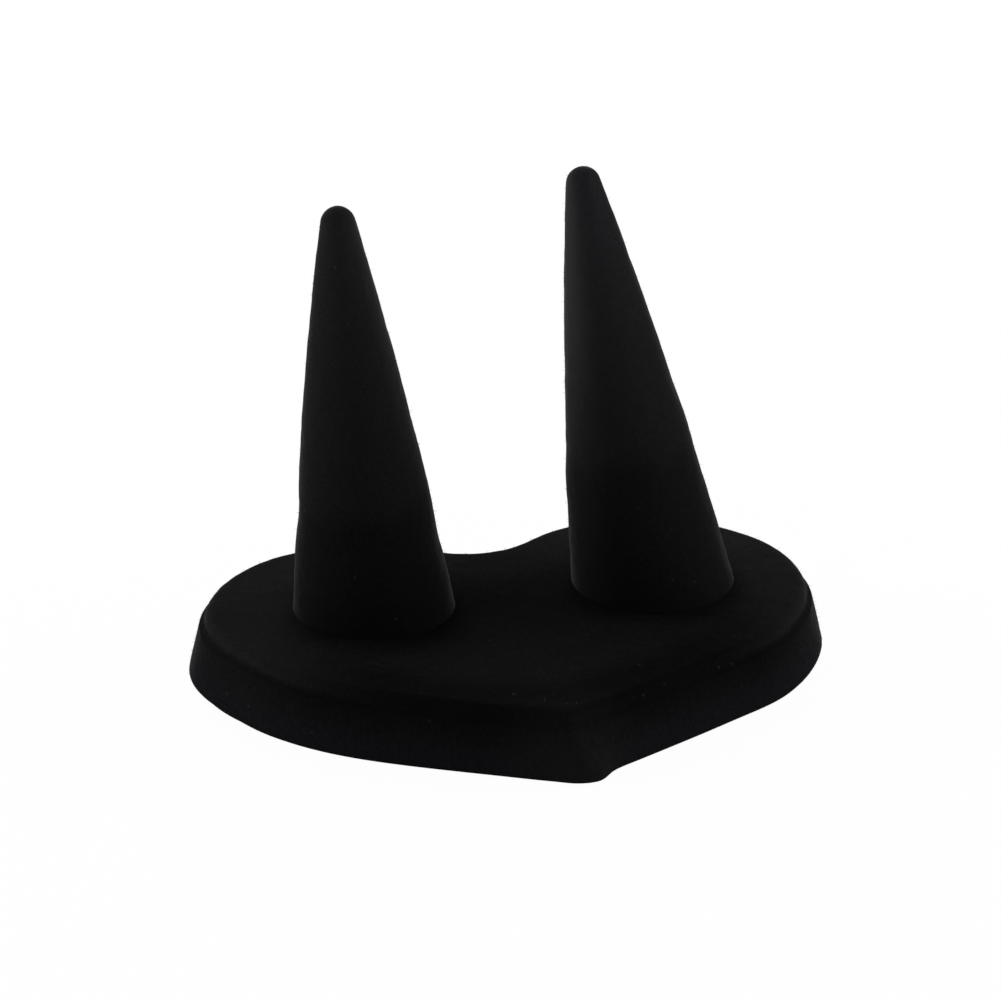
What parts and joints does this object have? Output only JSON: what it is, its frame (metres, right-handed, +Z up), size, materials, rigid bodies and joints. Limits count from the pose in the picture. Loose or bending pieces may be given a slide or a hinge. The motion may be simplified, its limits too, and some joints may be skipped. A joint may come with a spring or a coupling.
{
  "type": "ring display stand",
  "caption": "Flocked heart-shaped display stand with upright, slightly leaning cones that hold finger rings for show.",
  "frame": {"origin": "middle of the underside's bounding box, on the surface that the stand rests on", "axes": "+X to the right lobe, +Y to the notch at the back, +Z up; the heart's corner points to -Y"},
  "size_m": [0.1, 0.0724, 0.0788],
  "materials": {
    "flocked_moulding": "rigid plastic moulding coated all over with short black flock",
    "board": "thin fibre board faced with matt black paper",
    "zinc_steel": "bright zinc plate"
  },
  "bodies": {
    "root": {"base_shell": "flocked_moulding", "bottom_board": "board", "left_cone": "flocked_moulding", "right_cone": "flocked_moulding", "left_washer": "zinc_steel", "right_washer": "zinc_steel", "left_screw": "zinc_steel", "right_screw": "zinc_steel"}
  },
  "joints": []
}
